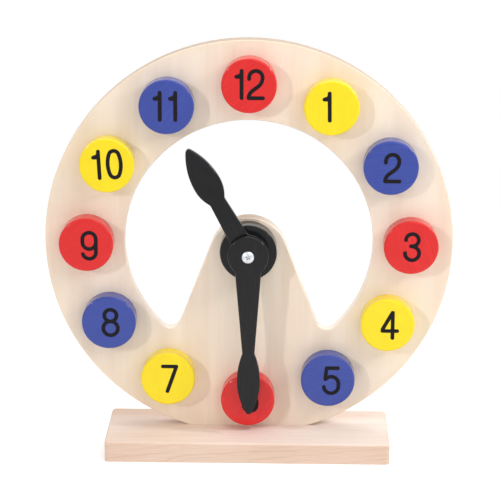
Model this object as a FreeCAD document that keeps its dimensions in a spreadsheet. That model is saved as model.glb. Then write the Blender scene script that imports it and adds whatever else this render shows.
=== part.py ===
import FreeCAD, Part
import os
import re
import Sketcher

# A wooden teaching clock: a ring-shaped dial plate with a tongue that carries two loose
# hands, twelve number pegs round the ring, and a base board that the plate is let into.
#
# Frame: millimetres, +Z up, origin at the middle of the base board's underside. The clock
# faces -Y, so X runs to the right as the dial is read.

HOURS = 12
PAINT = ("red", "yellow", "blue")

SIZES = [
    # base board
    ("base_length", 168.0, "along X"),
    ("base_depth", 60.0, "along Y"),
    ("base_thickness", 12.0, "along Z"),
    ("base_corner_radius", 2.5, "upright corners"),
    ("base_edge_chamfer", 0.8, "edges of the top"),
    # dial plate
    ("dial_radius", 120.0, "outside of the ring"),
    ("ring_width", 47.0, "outside of the ring to its opening"),
    ("dial_thickness", 9.0, "sheet thickness"),
    ("dial_flat", 5.5, "how much of the ring is cut off flat to stand on the base board"),
    ("dial_setback", 7.0, "middle of the plate behind the middle of the base board"),
    ("dial_edge_chamfer", 0.5, "sanded edges"),
    ("tongue_tip_radius", 23.0, "rounded top of the tongue"),
    ("tongue_tip_drop", 8.4, "centre of the tip radius below the ring centre"),
    ("tongue_half_angle", 21.2, "slope of the tongue's sides from upright, degrees"),
    ("tongue_root", 10.0, "how far the tongue's outline runs into the ring"),
    ("notch_radius", 6.5, "inside corners between tongue and ring"),
    ("foot_length", 60.0, "tenon under the plate, along X"),
    ("foot_depth", 3.0, "tenon under the plate, along Z"),
    ("joint_clearance", 0.1, "round a glued tenon or dowel end"),
    # number pegs
    ("number_radius", 16.0, "number disc"),
    ("number_above_base", 3.5, "lowest number disc over the base board"),
    ("number_thickness", 11.0, "number disc"),
    ("number_edge_chamfer", 0.8, "front edge of a number disc"),
    ("dowel_radius", 4.0, "peg dowel"),
    ("dowel_socket_depth", 7.0, "dowel glued into its disc"),
    ("dowel_bore_depth", 6.2, "blind bore in the dial plate"),
    ("dowel_end_gap", 0.4, "dowel end to bottom of its bore"),
    ("dowel_clearance", 0.1, "dowel to its bore in the plate, radial"),
    # pivot stack
    ("pivot_drop", 4.0, "pivot below the ring centre"),
    ("spacer_radius", 16.7, "round block behind the hands"),
    ("spacer_thickness", 11.0, "round block behind the hands"),
    ("spacer_edge_chamfer", 0.7, "front edge of the block"),
    ("hand_thickness", 4.0, "both hands"),
    ("hand_gap", 0.2, "running gap on each side of a hand"),
    ("hand_edge_chamfer", 0.4, "edges of both hands"),
    ("hand_boss_radius", 12.0, "round end of both hands"),
    ("hand_boss_fillet", 5.0, "inside corners between boss and shank"),
    ("hand_neck_fillet", 3.0, "inside corners between shank and blade"),
    ("hand_tip_radius", 2.0, "point of both hands"),
    ("pivot_clearance", 0.1, "screw to the bore of a hand, radial"),
    # hour hand
    ("hour_short_of_ring", 1.4, "its length less than the radius of the ring's opening"),
    ("hour_shank_half", 6.4, "half width at the pivot"),
    ("hour_neck_half", 4.8, "half width at the neck"),
    ("hour_neck_to_tip", 35.2, "along the hand"),
    ("hour_blade_half", 8.2, "half width of the blade"),
    ("hour_blade_to_tip", 23.6, "widest place to tip, along the hand"),
    ("hour_angle", 330.4, "where the hour hand stands, degrees clockwise from 12"),
    # minute hand
    ("minute_past_numbers", 2.0, "its length more than the radius of the ring of numbers"),
    ("minute_shank_half", 8.4, "half width at the pivot"),
    ("minute_neck_half", 3.6, "half width at the neck"),
    ("minute_neck_to_tip", 37.5, "along the hand"),
    ("minute_blade_half", 6.8, "half width of the blade"),
    ("minute_blade_to_tip", 20.8, "widest place to tip, along the hand"),
    ("minute_angle", 179.6, "where the minute hand stands, degrees clockwise from 12"),
    # screws
    ("pivot_screw_radius", 1.75, "tapping screw shank"),
    ("pivot_screw_length", 25.0, "under the head"),
    ("pivot_head_radius", 3.5, "pan head"),
    ("pivot_head_height", 2.4, "pan head"),
    ("pivot_head_chamfer", 0.8, "edge of the pan head"),
    ("recess_arm", 1.9, "centre to end of one arm of the cross recess"),
    ("recess_width", 0.8, "width of one arm of the cross recess"),
    ("recess_depth", 1.2, "cross recess"),
    ("base_screw_radius", 1.75, "countersunk screw shank"),
    ("base_screw_length", 28.0, "over all"),
    ("base_screw_head", 3.5, "radius of the countersunk head"),
    ("base_screw_sink", 0.3, "head below the underside"),
    ("base_screw_half", 22.0, "each screw from the middle, along X"),
    ("screw_point", 4.0, "length of a screw's point"),
    ("screw_bore_clearance", 0.15, "screw to its hole in the base board, radial"),
    ("pilot_extra", 0.5, "pilot hole past the screw's point"),
]

DERIVED = [
    ("dial_opening_radius", "=dial_radius - ring_width"),
    ("dial_rise", "=dial_radius - dial_flat"),
    ("number_pitch_radius", "=dial_rise - number_above_base - number_radius"),
    ("hour_length", "=dial_opening_radius - hour_short_of_ring"),
    ("hour_neck_at", "=hour_length - hour_neck_to_tip"),
    ("hour_blade_at", "=hour_length - hour_blade_to_tip"),
    ("minute_length", "=number_pitch_radius + minute_past_numbers"),
    ("minute_neck_at", "=minute_length - minute_neck_to_tip"),
    ("minute_blade_at", "=minute_length - minute_blade_to_tip"),
    ("ring_centre_height", "=base_thickness + dial_rise"),
    ("pivot_height", "=ring_centre_height - pivot_drop"),
    ("dial_front", "=dial_setback - dial_thickness / 2"),
    ("dowel_length", "=dowel_socket_depth + dowel_bore_depth - dowel_end_gap"),
    ("hour_back", "=spacer_thickness + hand_gap"),
    ("minute_back", "=hour_back + hand_thickness + hand_gap"),
    ("head_seat", "=minute_back + hand_thickness + hand_gap / 2"),
    ("base_screw_cone", "=base_screw_head - base_screw_radius"),
]

doc = FreeCAD.newDocument("TeachingClock")
sheet = doc.addObject("Spreadsheet::Sheet", "Sizes")


def fill_sheet():
    """Write every driving and derived size into the sheet, each under its alias."""
    rows = [(alias, str(number), note) for alias, number, note in SIZES]
    rows += [(alias, formula, "worked out") for alias, formula in DERIVED]
    for row, (alias, content, note) in enumerate(rows, start=1):
        sheet.set(f"A{row}", alias)
        sheet.set(f"B{row}", content)
        sheet.set(f"C{row}", note)
        sheet.setAlias(f"B{row}", alias)
    doc.recompute()


def value(expression):
    """The present value of an expression on the sheet's sizes."""
    result = sheet.evalExpression(expression)
    return float(getattr(result, "Value", result))


def bound(expression):
    """The same expression as another object of the document has to write it."""
    names = {alias for alias, *_ in SIZES + DERIVED}

    def full(match):
        word = match.group()
        return f"Sizes.{word}" if word in names else word

    return re.sub(r"[a-z_]+", full, expression)


def tie(feature, prop, expression):
    """Bind one property of a feature to the sheet."""
    feature.setExpression(prop, bound(expression))


class Outline:
    """A sketch on one of a body's own origin planes, with its sizes bound to the sheet."""

    ORIGIN = (-1, 1)
    UPRIGHT = -2

    def __init__(self, body, name, plane="XZ_Plane", offset=None):
        self.sketch = body.newObject("Sketcher::SketchObject", name)
        support = next(f for f in body.Origin.OriginFeatures if f.Role == plane)
        self.sketch.AttachmentSupport = [(support, "")]
        self.sketch.MapMode = "FlatFace"
        if offset:
            tie(self.sketch, "AttachmentOffset.Base.z", offset)

    def line(self, start, end):
        points = [FreeCAD.Vector(value(x), value(y), 0) for x, y in (start, end)]
        return self.sketch.addGeometry(Part.LineSegment(*points), False)

    def arc(self, centre, radius, start, end):
        """An arc anticlockwise from start to end, both (x, y) numbers."""
        circle = Part.Circle(FreeCAD.Vector(*centre, 0), FreeCAD.Vector(0, 0, 1), radius)
        angles = [circle.parameter(FreeCAD.Vector(*point, 0)) for point in (start, end)]
        return self.sketch.addGeometry(Part.ArcOfCircle(circle, *angles), False)

    def circle(self, radius, x="0", y="0"):
        """A circle with its centre at (x, y)."""
        centre = FreeCAD.Vector(value(x), value(y), 0)
        round_edge = Part.Circle(centre, FreeCAD.Vector(0, 0, 1), value(radius))
        index = self.sketch.addGeometry(round_edge, False)
        self.size("Radius", (index,), radius)
        self.place((index, 3), x, y)
        return index

    def rule(self, kind, *references):
        return self.sketch.addConstraint(Sketcher.Constraint(kind, *references))

    def join(self, *pairs):
        for first, second in pairs:
            self.rule("Coincident", *first, *second)

    def size(self, kind, references, expression):
        """A dimension that follows the sheet."""
        number = value(expression)
        index = self.rule(kind, *references, number)
        tie(self.sketch, f"Constraints[{index}]", expression)

    def place(self, point, x, y):
        """Hold a point at (x, y); a zero puts it on the sketch's axis."""
        for kind, axis, expression in (("DistanceX", -2, x), ("DistanceY", -1, y)):
            if expression == "0":
                self.rule("PointOnObject", *point, axis)
            else:
                self.size(kind, (*self.ORIGIN, *point), expression)

    def polygon(self, corners):
        """A closed outline of straight edges through the corners."""
        edges = [self.line(corners[i - 1], corners[i]) for i in range(len(corners))]
        for i, corner in enumerate(corners):
            following = edges[(i + 1) % len(edges)]
            self.join(((edges[i], 2), (following, 1)))
            self.place((edges[i], 2), *corner)

    def rectangle(self, left, right, low, high):
        self.polygon([(left, low), (right, low), (right, high), (left, high)])


def new_body(label, x="0", y="0", z="0", turn=None):
    """A body whose place, and turn about Y in degrees, follow the sheet."""
    body = doc.addObject("PartDesign::Body", label)
    body.Label = label
    if turn:
        body.Placement.Rotation = FreeCAD.Rotation(FreeCAD.Vector(0, 1, 0), value(turn))
        tie(body, "Placement.Rotation.Angle", turn)
    for axis, expression in zip("xyz", (x, y, z)):
        if expression != "0":
            tie(body, f"Placement.Base.{axis}", expression)
    return body


def pad(body, outline, length, back=False):
    """Thicken an outline; back reverses the direction."""
    feature = body.newObject("PartDesign::Pad", outline.sketch.Name + "Pad")
    feature.Profile = outline.sketch
    feature.Reversed = back
    tie(feature, "Length", length)
    doc.recompute()
    return feature


def pocket(body, outline, depth=None, back=False):
    """Cut an outline away, to a depth or right through, and make sure that it cuts."""
    before = body.Shape.Volume
    feature = body.newObject("PartDesign::Pocket", outline.sketch.Name + "Pocket")
    feature.Profile = outline.sketch
    feature.Reversed = back
    if depth:
        tie(feature, "Length", depth)
    else:
        feature.Type = "ThroughAll"
        feature.Midplane = True
    doc.recompute()
    if body.Shape.Volume >= before:
        raise RuntimeError(feature.Name + " cuts nothing")
    return feature


def revolve(body, outline):
    """Turn an outline round the sketch's upright axis."""
    feature = body.newObject("PartDesign::Revolution", outline.sketch.Name + "Turn")
    feature.Profile = outline.sketch
    feature.ReferenceAxis = (outline.sketch, ["V_Axis"])
    feature.Angle = 360
    doc.recompute()
    return feature


def ease(body, kind, edges_wanted, prop, size):
    """Round or chamfer the edges of a body that edges_wanted accepts."""
    tip = body.Tip
    names = [f"Edge{i}" for i, edge in enumerate(tip.Shape.Edges, 1) if edges_wanted(edge)]
    if not names:
        raise RuntimeError(body.Label + " has no edge to ease")
    feature = body.newObject("PartDesign::" + kind, f"{body.Name}{kind}{len(body.Group)}")
    feature.Base = (tip, names)
    tie(feature, prop, size)
    doc.recompute()
    return feature


def fillet(body, edges_wanted, size):
    return ease(body, "Fillet", edges_wanted, "Radius", size)


def chamfer(body, edges_wanted, size):
    return ease(body, "Chamfer", edges_wanted, "Size", size)


def near(first, second):
    return abs(first - second) < 1e-3


def lies_flat(edge, axis, height):
    """True for an edge that lies in the plane where the axis has this height."""
    box = edge.BoundBox
    low, high = getattr(box, axis + "Min"), getattr(box, axis + "Max")
    return near(low, height) and near(high, height)


def runs_along(edge, axis):
    """True for a straight edge parallel to the axis."""
    if edge.Curve.TypeId != "Part::GeomLine":
        return False
    return near(abs(getattr(edge.Curve.Direction, axis)), 1)


def round_edge(edge, radius):
    """True for an edge that is a circle, or a piece of one, of this radius."""
    return edge.Curve.TypeId == "Part::GeomCircle" and near(edge.Curve.Radius, radius)


def middle(edge):
    """The point half-way along an edge."""
    return edge.valueAt((edge.FirstParameter + edge.LastParameter) / 2)


def make_base_board():
    """The board, with a stopped groove for the plate's tenon and two countersunk holes."""
    body = new_body("base_board")
    board = Outline(body, "BoardOutline", "XY_Plane")
    board.rectangle("-base_length / 2", "base_length / 2", "-base_depth / 2", "base_depth / 2")
    pad(body, board, "base_thickness")
    fillet(body, lambda edge: runs_along(edge, "z"), "base_corner_radius")
    top = value("base_thickness")
    chamfer(body, lambda edge: lies_flat(edge, "Z", top), "base_edge_chamfer")

    groove = Outline(body, "BoardGroove", "XY_Plane", offset="base_thickness")
    groove.rectangle(
        "-foot_length / 2 - joint_clearance",
        "foot_length / 2 + joint_clearance",
        "dial_setback - dial_thickness / 2 - joint_clearance",
        "dial_setback + dial_thickness / 2 + joint_clearance",
    )
    pocket(body, groove, "foot_depth + joint_clearance")

    holes = Outline(body, "BoardHoles", "XY_Plane")
    for x in ("-base_screw_half", "base_screw_half"):
        holes.circle("base_screw_radius + screw_bore_clearance", x, "dial_setback")
    pocket(body, holes)
    bore = value("base_screw_radius + screw_bore_clearance")
    rims = lambda edge: lies_flat(edge, "Z", 0) and round_edge(edge, bore)
    chamfer(body, rims, "base_screw_cone + base_screw_sink")
    return body


def make_dial_plate():
    """Ring, tongue and tenon in one sheet; local origin at the ring centre, on the front."""
    body = new_body("dial_plate", y="dial_front", z="ring_centre_height")
    ring = Outline(body, "RingOutline")
    ring.circle("dial_radius")
    ring.circle("dial_opening_radius")
    pad(body, ring, "dial_thickness", back=True)

    pad(body, tongue_outline(body), "dial_thickness", back=True)
    opening = value("dial_opening_radius")

    def notch(edge):
        point = middle(edge)
        on_ring = near((point.x ** 2 + point.z ** 2) ** 0.5, opening)
        return runs_along(edge, "y") and on_ring and point.z < 0 and not near(point.x, 0)

    fillet(body, notch, "notch_radius")
    faces = (0, value("dial_thickness"))
    chamfer(body, lambda edge: any(lies_flat(edge, "Y", y) for y in faces), "dial_edge_chamfer")

    flat = Outline(body, "PlateFlat")
    flat.rectangle("-dial_radius", "dial_radius", "-dial_radius - foot_depth", "-dial_rise")
    pocket(body, flat)
    foot = Outline(body, "PlateFoot")
    foot.rectangle(
        "-foot_length / 2", "foot_length / 2", "-dial_rise - foot_depth", "-dial_rise"
    )
    pad(body, foot, "dial_thickness", back=True)

    bore = Outline(body, "PegBore")
    bore.circle("dowel_radius + dowel_clearance", y="number_pitch_radius")
    first_bore = pocket(body, bore, "dowel_bore_depth")
    pattern = body.newObject("PartDesign::PolarPattern", "PegBores")
    pattern.Originals = [first_bore]
    pattern.Axis = (bore.sketch, ["N_Axis"])
    pattern.Angle = 360
    pattern.Occurrences = HOURS
    body.Tip = pattern
    doc.recompute()

    pilot = Outline(body, "PivotPilot")
    pilot.circle("pivot_screw_radius", y="-pivot_drop")
    pocket(body, pilot, "pivot_screw_length - head_seat + pilot_extra")

    pilots = Outline(body, "FootPilots", "XY_Plane", offset="-dial_rise - foot_depth")
    for x in ("-base_screw_half", "base_screw_half"):
        pilots.circle("base_screw_radius", x, "dial_thickness / 2")
    reach = "base_screw_sink + base_screw_length + pilot_extra - base_thickness + foot_depth"
    pocket(body, pilots, reach, back=True)
    return body


def tongue_outline(body):
    """The tongue: a round tip with two straight sides that spread down into the ring."""
    tongue = Outline(body, "TongueOutline")
    root = "-dial_opening_radius - tongue_root"
    slope = "tongue_half_angle * 1 deg"
    side_x = f"tongue_tip_radius * cos( {slope} )"
    side_y = f"-tongue_tip_drop + tongue_tip_radius * sin( {slope} )"
    root_x = f"{side_x} + ( {side_y} - ( {root} ) ) * tan( {slope} )"
    centre = (0, value("-tongue_tip_drop"))
    right = (value(side_x), value(side_y))
    tip = tongue.arc(centre, value("tongue_tip_radius"), right, (-right[0], right[1]))
    left_side = tongue.line((f"-( {side_x} )", side_y), (f"-( {root_x} )", root))
    bottom = tongue.line((f"-( {root_x} )", root), (root_x, root))
    right_side = tongue.line((root_x, root), (side_x, side_y))
    tongue.rule("Tangent", tip, 2, left_side, 1)
    tongue.join(((left_side, 2), (bottom, 1)), ((bottom, 2), (right_side, 1)))
    tongue.rule("Tangent", right_side, 2, tip, 1)
    tongue.place((tip, 3), "0", "-tongue_tip_drop")
    tongue.size("Radius", (tip,), "tongue_tip_radius")
    tongue.place((bottom, 1), f"-( {root_x} )", root)
    tongue.place((bottom, 2), root_x, root)
    return tongue


def hour_place(hour):
    """X and Z of an hour's number, as expressions on the sheet."""
    angle = f"{360 * hour / HOURS} deg"
    across = f"number_pitch_radius * sin( {angle} )"
    up = f"ring_centre_height + number_pitch_radius * cos( {angle} )"
    return across, up


def make_number_disc(hour):
    """One number disc, eased in front, with a blind socket for its dowel behind."""
    across, up = hour_place(hour)
    body = new_body(f"number_{hour:02d}_{PAINT[hour % 3]}", across, "dial_front", up)
    face = Outline(body, f"Disc{hour}Outline")
    face.circle("number_radius")
    pad(body, face, "number_thickness")
    front = value("-number_thickness")
    chamfer(body, lambda edge: lies_flat(edge, "Y", front), "number_edge_chamfer")
    socket = Outline(body, f"Disc{hour}Socket")
    socket.circle("dowel_radius")
    pocket(body, socket, "dowel_socket_depth", back=True)
    return body


def make_peg_dowel(hour):
    """One dowel: glued into its disc in front, free to slide out of the plate behind."""
    across, up = hour_place(hour)
    body = new_body(f"peg_dowel_{hour:02d}", across, "dial_front - dowel_socket_depth", up)
    end = Outline(body, f"Dowel{hour}Outline")
    end.circle("dowel_radius")
    pad(body, end, "dowel_length", back=True)
    return body


def make_spacer():
    """The round block that carries the hands clear of the number discs."""
    body = new_body("hub_spacer", y="dial_front", z="pivot_height")
    block = Outline(body, "SpacerOutline")
    block.circle("spacer_radius")
    pad(body, block, "spacer_thickness")
    front = value("-spacer_thickness")
    chamfer(body, lambda edge: lies_flat(edge, "Y", front), "spacer_edge_chamfer")
    pilot = Outline(body, "SpacerPilot")
    pilot.circle("pivot_screw_radius")
    pocket(body, pilot)
    return body


def blade_outline(body, hand):
    """Right half of a hand: a tapering shank and a leaf-shaped blade with a round point.

    Two arcs meet at the blade's widest place, where both run parallel to the hand. The
    lower one starts at the neck and the upper one runs smoothly into the round point.
    """
    half = Outline(body, hand.capitalize() + "Blade")
    length, blade_at = f"{hand}_length", f"{hand}_blade_at"
    blade, neck = f"{hand}_blade_half", f"{hand}_neck_half"
    point_radius = value("hand_tip_radius")
    wide_x, wide_y = value(blade), value(blade_at)
    neck_x, neck_y = value(neck), value(f"{hand}_neck_at")

    rise, waist = wide_y - neck_y, wide_x - neck_x
    lower_radius = (rise ** 2 + waist ** 2) / (2 * waist)
    reach = value(length) - point_radius - wide_y
    upper_radius = (reach ** 2 + wide_x ** 2 - point_radius ** 2) / (2 * (wide_x - point_radius))
    upper_x = wide_x - upper_radius
    point_y = value(length) - point_radius
    share = point_radius / (upper_radius - point_radius)
    touch = (-upper_x * share, point_y + reach * share)

    axis = half.line(("0", length), ("0", "0"))
    root = half.line(("0", "0"), (f"{hand}_shank_half", "0"))
    shank = half.line((f"{hand}_shank_half", "0"), (neck, f"{hand}_neck_at"))
    wide = (wide_x, wide_y)
    lower = half.arc((wide_x - lower_radius, wide_y), lower_radius, (neck_x, neck_y), wide)
    upper = half.arc((upper_x, wide_y), upper_radius, wide, touch)
    tip = half.arc((0, point_y), point_radius, touch, (0, value(length)))

    half.join(
        ((axis, 2), (root, 1)), ((root, 2), (shank, 1)), ((shank, 2), (lower, 1)),
        ((lower, 2), (upper, 1)), ((tip, 2), (axis, 1)),
    )
    half.join(((axis, 2), half.ORIGIN))
    half.rule("Tangent", upper, 2, tip, 1)
    half.place((axis, 1), "0", length)
    half.place((root, 2), f"{hand}_shank_half", "0")
    half.place((shank, 2), neck, f"{hand}_neck_at")
    half.place((lower, 2), blade, blade_at)
    half.rule("Horizontal", lower, 3, lower, 2)
    half.rule("Horizontal", upper, 3, upper, 1)
    half.rule("PointOnObject", tip, 3, half.UPRIGHT)
    half.size("Radius", (tip,), "hand_tip_radius")
    return half


def make_hand(hand):
    """The hour or minute hand; local origin on the pivot, at the hand's back face."""
    place = f"dial_front - {hand}_back"
    body = new_body(f"{hand}_hand", y=place, z="pivot_height", turn=f"{hand}_angle")
    half = pad(body, blade_outline(body, hand), "hand_thickness")
    mirror = body.newObject("PartDesign::Mirrored", hand.capitalize() + "BothSides")
    mirror.Originals = [half]
    mirror.MirrorPlane = (half.Profile[0], ["V_Axis"])
    body.Tip = mirror
    doc.recompute()
    boss = Outline(body, hand.capitalize() + "Boss")
    boss.circle("hand_boss_radius")
    pad(body, boss, "hand_thickness")

    def corner(edge, distance):
        point = middle(edge)
        away = (point.x ** 2 + point.z ** 2) ** 0.5
        across = abs(point.x) > value(f"{hand}_neck_half") / 2
        return runs_along(edge, "y") and point.z > 0 and across and near(away, distance)

    neck_away = (value(f"{hand}_neck_half") ** 2 + value(f"{hand}_neck_at") ** 2) ** 0.5
    boss_away = value("hand_boss_radius")
    seam = lambda edge: near(middle(edge).z, 0)
    fillet(body, lambda edge: corner(edge, neck_away), "hand_neck_fillet")
    fillet(body, lambda edge: corner(edge, boss_away) and not seam(edge), "hand_boss_fillet")
    faces = (0, value("-hand_thickness"))
    chamfer(body, lambda edge: any(lies_flat(edge, "Y", y) for y in faces), "hand_edge_chamfer")
    bore = Outline(body, hand.capitalize() + "Bore")
    bore.circle("pivot_screw_radius + pivot_clearance")
    pocket(body, bore)
    return body


def make_pivot_screw():
    """Pan-head tapping screw with a cross recess; it stands along -Y, head in front."""
    body = new_body("pivot_screw", y="dial_front - head_seat", z="pivot_height")
    shank_end = "pivot_screw_length - screw_point"
    side = Outline(body, "PivotScrewProfile", "XY_Plane")
    side.polygon([
        ("0", "-pivot_head_height"),
        ("pivot_head_radius", "-pivot_head_height"),
        ("pivot_head_radius", "0"),
        ("pivot_screw_radius", "0"),
        ("pivot_screw_radius", shank_end),
        ("0", "pivot_screw_length"),
    ])
    revolve(body, side)
    front = value("-pivot_head_height")
    chamfer(body, lambda edge: lies_flat(edge, "Y", front), "pivot_head_chamfer")
    for name, across, up in (("Level", "recess_arm", "recess_width / 2"),
                             ("Upright", "recess_width / 2", "recess_arm")):
        arm = Outline(body, "Recess" + name, offset="pivot_head_height - recess_depth")
        arm.rectangle(f"-{across}", across, f"-{up}", up)
        pocket(body, arm, "recess_depth", back=True)
    return body


def make_base_screws():
    """Two countersunk wood screws that come up through the base board into the tenon."""
    screws = []
    for name, x in (("left", "-base_screw_half"), ("right", "base_screw_half")):
        body = new_body(f"base_screw_{name}", x, "dial_setback", "base_screw_sink")
        side = Outline(body, f"BaseScrew{name.capitalize()}", "XZ_Plane")
        side.polygon([
            ("0", "0"),
            ("base_screw_head", "0"),
            ("base_screw_radius", "base_screw_cone"),
            ("base_screw_radius", "base_screw_length - screw_point"),
            ("0", "base_screw_length"),
        ])
        revolve(body, side)
        screws.append(body)
    pair = doc.addObject("Part::Compound", "base_screws")
    pair.Label = "base_screws"
    pair.Links = screws
    doc.recompute()
    return pair


def check_document():
    """Stop if any feature of the document has failed."""
    for item in doc.Objects:
        if {"Invalid", "Error"} & set(item.State):
            raise RuntimeError(f"{item.Name} failed: {item.State}")


def export(parts):
    """Write each sub-part, once it is known to be sound."""
    for part in parts:
        if part.Shape.isNull() or not part.Shape.isValid():
            raise RuntimeError(part.Label + " has no valid shape")
    os.makedirs("parts", exist_ok=True)
    for part in parts:
        part.Shape.exportStep(f"parts/{part.Label}.step")


fill_sheet()
parts = [make_base_board(), make_dial_plate()]
for hour in range(1, HOURS + 1):
    parts += [make_number_disc(hour), make_peg_dowel(hour)]
parts += [make_spacer(), make_hand("hour"), make_hand("minute"), make_pivot_screw()]
parts.append(make_base_screws())
doc.recompute()
check_document()
export(parts)
print(len(parts), "sub-parts written")
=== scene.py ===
import math

import bmesh
import bpy
from mathutils import Matrix, Vector


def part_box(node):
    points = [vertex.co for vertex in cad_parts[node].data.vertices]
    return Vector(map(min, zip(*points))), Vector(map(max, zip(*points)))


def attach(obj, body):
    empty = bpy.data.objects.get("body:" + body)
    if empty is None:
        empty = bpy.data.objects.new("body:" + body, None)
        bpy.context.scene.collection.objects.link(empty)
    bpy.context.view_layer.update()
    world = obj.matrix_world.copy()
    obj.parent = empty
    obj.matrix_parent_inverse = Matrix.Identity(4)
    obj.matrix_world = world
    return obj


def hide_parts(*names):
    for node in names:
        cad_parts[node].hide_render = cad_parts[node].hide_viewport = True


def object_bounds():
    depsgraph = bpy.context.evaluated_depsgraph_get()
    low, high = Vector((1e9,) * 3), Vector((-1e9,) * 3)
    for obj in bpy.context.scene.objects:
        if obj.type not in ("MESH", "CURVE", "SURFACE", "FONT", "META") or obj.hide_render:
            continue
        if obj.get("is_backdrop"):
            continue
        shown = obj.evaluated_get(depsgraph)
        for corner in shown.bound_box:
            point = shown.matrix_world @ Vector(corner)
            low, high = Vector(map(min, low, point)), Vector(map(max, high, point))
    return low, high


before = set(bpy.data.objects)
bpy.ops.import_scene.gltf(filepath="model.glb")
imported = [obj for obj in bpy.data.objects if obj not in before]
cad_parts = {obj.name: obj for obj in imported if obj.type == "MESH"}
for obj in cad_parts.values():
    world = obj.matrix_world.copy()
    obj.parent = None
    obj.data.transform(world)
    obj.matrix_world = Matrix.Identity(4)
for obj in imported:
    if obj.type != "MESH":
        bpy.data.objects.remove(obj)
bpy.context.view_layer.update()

# Dresses a packed wooden teaching clock: grain on its plate and base board, twelve painted
# number discs with their numerals, two leaf-shaped hands, the hub block and the screws.
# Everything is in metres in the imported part's frame. The clock faces -Y.

bl_info = {
    "name": "Teaching clock",
    "version": (1, 0, 0),
    "blender": (4, 5, 0),
    "location": "3D View > Sidebar > Clock",
    "description": "Dresses the packed teaching clock and sets its stage",
    "category": "Object",
}

MM = 0.001
HOURS = 12
STAND = "stand"
PAINTS = ("red", "yellow", "blue")

# How near two points are, in metres, to be one point: where lines meet, and in a whole mesh.
CLOSE = 1e-6
CLOSEST = 2e-7

# Faces round each kind of piece, and steps across a rounded rim, edge or end of a stroke.
BLOCK_SIDES = 128
DOWEL_SIDES = 48
SCREW_SIDES = 64
RIM_STEPS = 5
EDGE_STEPS = 4
CAP_STEPS = 12
FLOOR_SIDES = 96


# ---------------------------------------------------------------- properties

def length(name, description, millimetres):
    return bpy.props.FloatProperty(
        name=name, description=description, default=millimetres * MM, unit="LENGTH", precision=5
    )


def angle(name, description, degrees):
    return bpy.props.FloatProperty(
        name=name, description=description, default=math.radians(degrees), subtype="ANGLE"
    )


def share(name, description, default):
    return bpy.props.FloatProperty(
        name=name, description=description, default=default, min=0, max=1, subtype="FACTOR"
    )


def number(name, description, default):
    return bpy.props.FloatProperty(name=name, description=description, default=default, min=0)


def colour(name, description, red, green, blue):
    """A colour given by its screen values, 0 to 255, and kept as linear light."""
    def linear(value):
        value /= 255
        return value / 12.92 if value <= 0.04045 else ((value + 0.055) / 1.055) ** 2.4

    return bpy.props.FloatVectorProperty(
        name=name, description=description, subtype="COLOR", size=3, min=0, max=1,
        default=[linear(value) for value in (red, green, blue)],
    )


def place_of(name, description, x, y, z):
    return bpy.props.FloatVectorProperty(
        name=name, description=description, default=(x, y, z), subtype="TRANSLATION"
    )


class ClockWood(bpy.types.PropertyGroup):
    """Tones and grain of the plate, the base board and the dowels."""

    face_pale: colour("Face, pale", "Pale fibres of the plate's faces", 238, 223, 205)
    face_warm: colour("Face, warm", "Warm bands of the plate's faces", 226, 205, 184)
    edge_pale: colour("Edge, pale", "Long-grain plies at the plate's edge", 228, 211, 194)
    edge_warm: colour("Edge, warm", "End-grain plies at the plate's edge", 220, 199, 176)
    # Walls of the opening: painted light, paler where the lamps fall on them.
    opening_wall_light: colour("Inner edge", "Sanded walls of the opening", 252, 244, 236)
    # Walls that face up: a tint of painted shade.
    up_wall_shade_tint: colour("End grain", "Tint of walls that face up", 212, 207, 203)
    # Rim: a warmer band round the outside of the plate's face.
    rim_warm: colour("Rim", "Sanded band round the outside of the plate", 236, 217, 194)
    rim_width: length("Rim width", "How far in the sanded band reaches", 5.0)
    board_pale: colour("Board, pale", "Pale wood of the base board", 243, 230, 221)
    board_front: colour("Board, front", "Tint of the board's upright sides", 244, 233, 223)
    board_warm: colour("Board, warm", "Darker rings of the base board", 214, 184, 164)
    ring_spacing: length("Ring spacing", "Between two growth rings of the board", 4.4)
    ring_slope: number("Ring slope", "Rise of the rings along the board", 0.115)
    ring_dip: number("Ring dip", "Fall of the rings from the board's front to its back", 1.35)
    dowel_pale: colour("Dowel, pale", "Side of a dowel", 236, 208, 170)
    dowel_warm: colour("Dowel, warm", "Streaks and pores of a dowel", 206, 168, 122)
    plies: bpy.props.IntProperty(name="Plies", description="Layers in the plate", default=7)


class ClockPaint(bpy.types.PropertyGroup):
    """Colours and gloss of the paints and of the steel."""

    red: colour("Red", "Red number discs", 213, 26, 25)
    yellow: colour("Yellow", "Yellow number discs", 240, 213, 8)
    blue: colour("Blue", "Blue number discs", 50, 68, 151)
    black: colour("Black", "Hands and hub block", 9, 9, 13)
    ink: colour("Ink", "Numerals", 24, 22, 26)
    steel: colour("Steel", "Zinc-plated screws", 214, 218, 222)
    paint_ior: number("Paint IOR", "Strength of the paint's own reflection", 1.1)
    gloss_ior: number("Coat IOR", "Strength of the top coat's reflection", 1.37)
    black_ior: number("Black coat IOR", "The same over the black paint", 1.29)
    gloss_roughness: share("Paint roughness", "Roughness of the brushed paint", 0.34)
    coat: share("Clear coat", "Weight of the glossy top coat", 1.0)
    coat_roughness: share("Coat roughness", "Roughness of the top coat", 0.1)
    steel_roughness: share("Steel roughness", "Roughness of the plated steel", 0.3)


class ClockNumbers(bpy.types.PropertyGroup):
    """Number discs, their dowels and their numerals."""

    rim_round: length("Front rim", "Rounding of a disc's front rim", 1.2)
    back_round: length("Back rim", "Rounding of a disc's back rim", 0.15)
    socket_radius: length("Socket radius", "Socket for the dowel in a disc", 4.0)
    socket_depth: length("Socket depth", "Socket for the dowel in a disc", 7.0)
    dowel_round: length("Dowel ends", "Rounding of a dowel's ends", 0.5)
    stroke: length("Stroke", "Width of a numeral's strokes", 2.25)
    ink_film: length("Ink film", "Thickness of the printed numeral", 0.07)
    ink_sunk: length("Ink sunk", "How much of the film lies in the paint", 0.02)


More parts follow.
